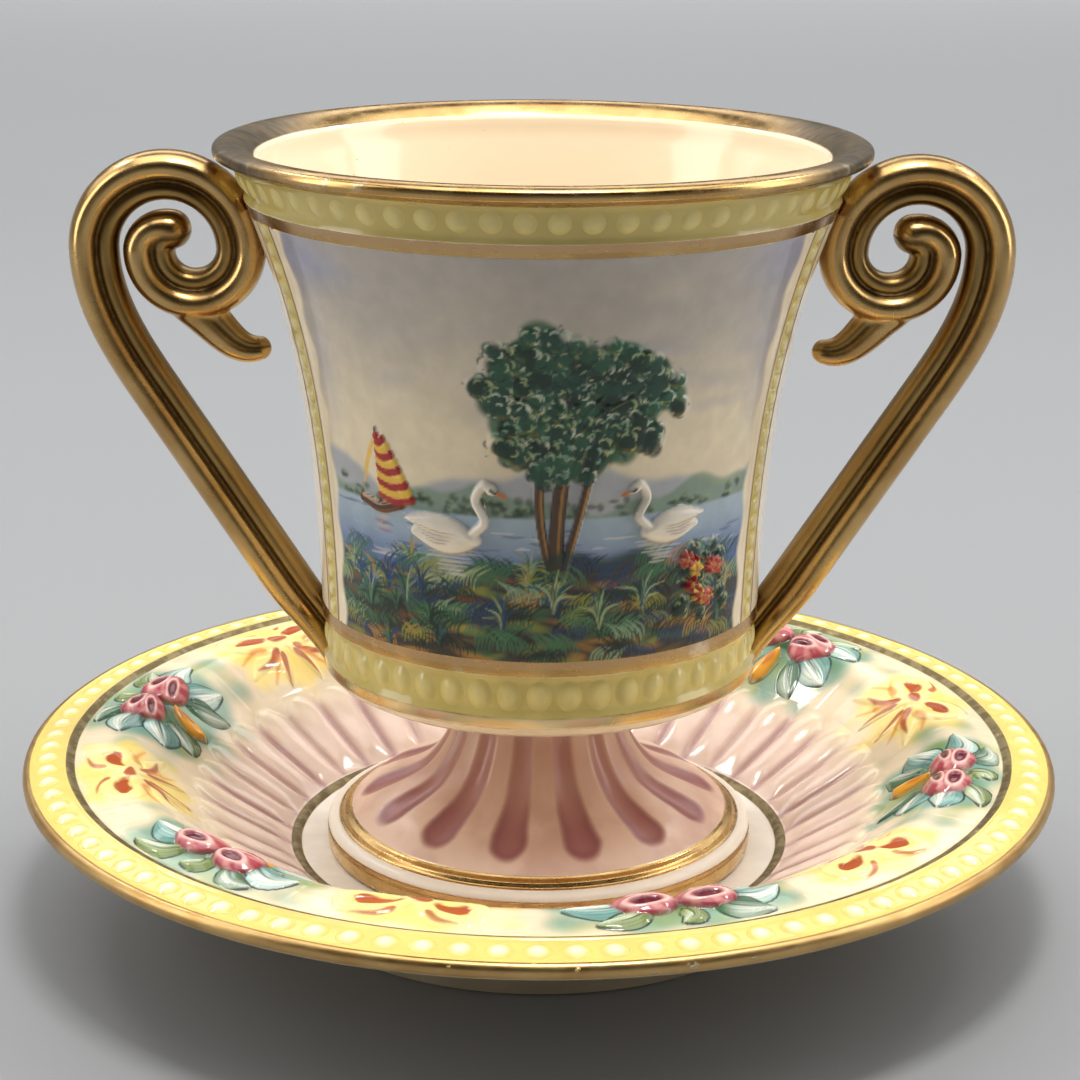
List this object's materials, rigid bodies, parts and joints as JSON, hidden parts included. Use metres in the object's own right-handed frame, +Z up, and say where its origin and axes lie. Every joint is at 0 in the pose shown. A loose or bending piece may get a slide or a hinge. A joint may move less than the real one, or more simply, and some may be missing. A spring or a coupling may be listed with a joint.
{
  "type": "two-handled pedestal cup on a saucer",
  "caption": "Bell-shaped porcelain cup with scrolled gilt handles on a fluted pedestal foot, standing on a saucer with gadroons and a beaded rim.",
  "frame": {"origin": "middle of the ring that the saucer stands on, at table height", "axes": "+Z up along the axis of cup and saucer, +X towards the right handle, +Y away from the viewer of the front picture"},
  "size_m": [0.114, 0.114, 0.0846],
  "materials": {
    "saucer_glaze": "cream glaze with painted flowers, pink gadroons and worn gold lines",
    "foot_glaze": "dusty pink glaze, deeper in the flutes, with a gilt base",
    "bowl_glaze": "cream glaze inside, painted outside between pale yellow bead bands",
    "gilt_porcelain": "burnished antique gold over the glaze"
  },
  "bodies": {
    "saucer": {"saucer": "saucer_glaze"},
    "cup": {"foot": "foot_glaze", "bowl": "bowl_glaze", "handle_left": "gilt_porcelain", "handle_right": "gilt_porcelain"}
  },
  "joints": [
    {"name": "cup_lift", "type": "slide", "parent": "saucer", "child": "cup", "axis": [0, 0, 1], "range_m": [0, 0.06]}
  ]
}
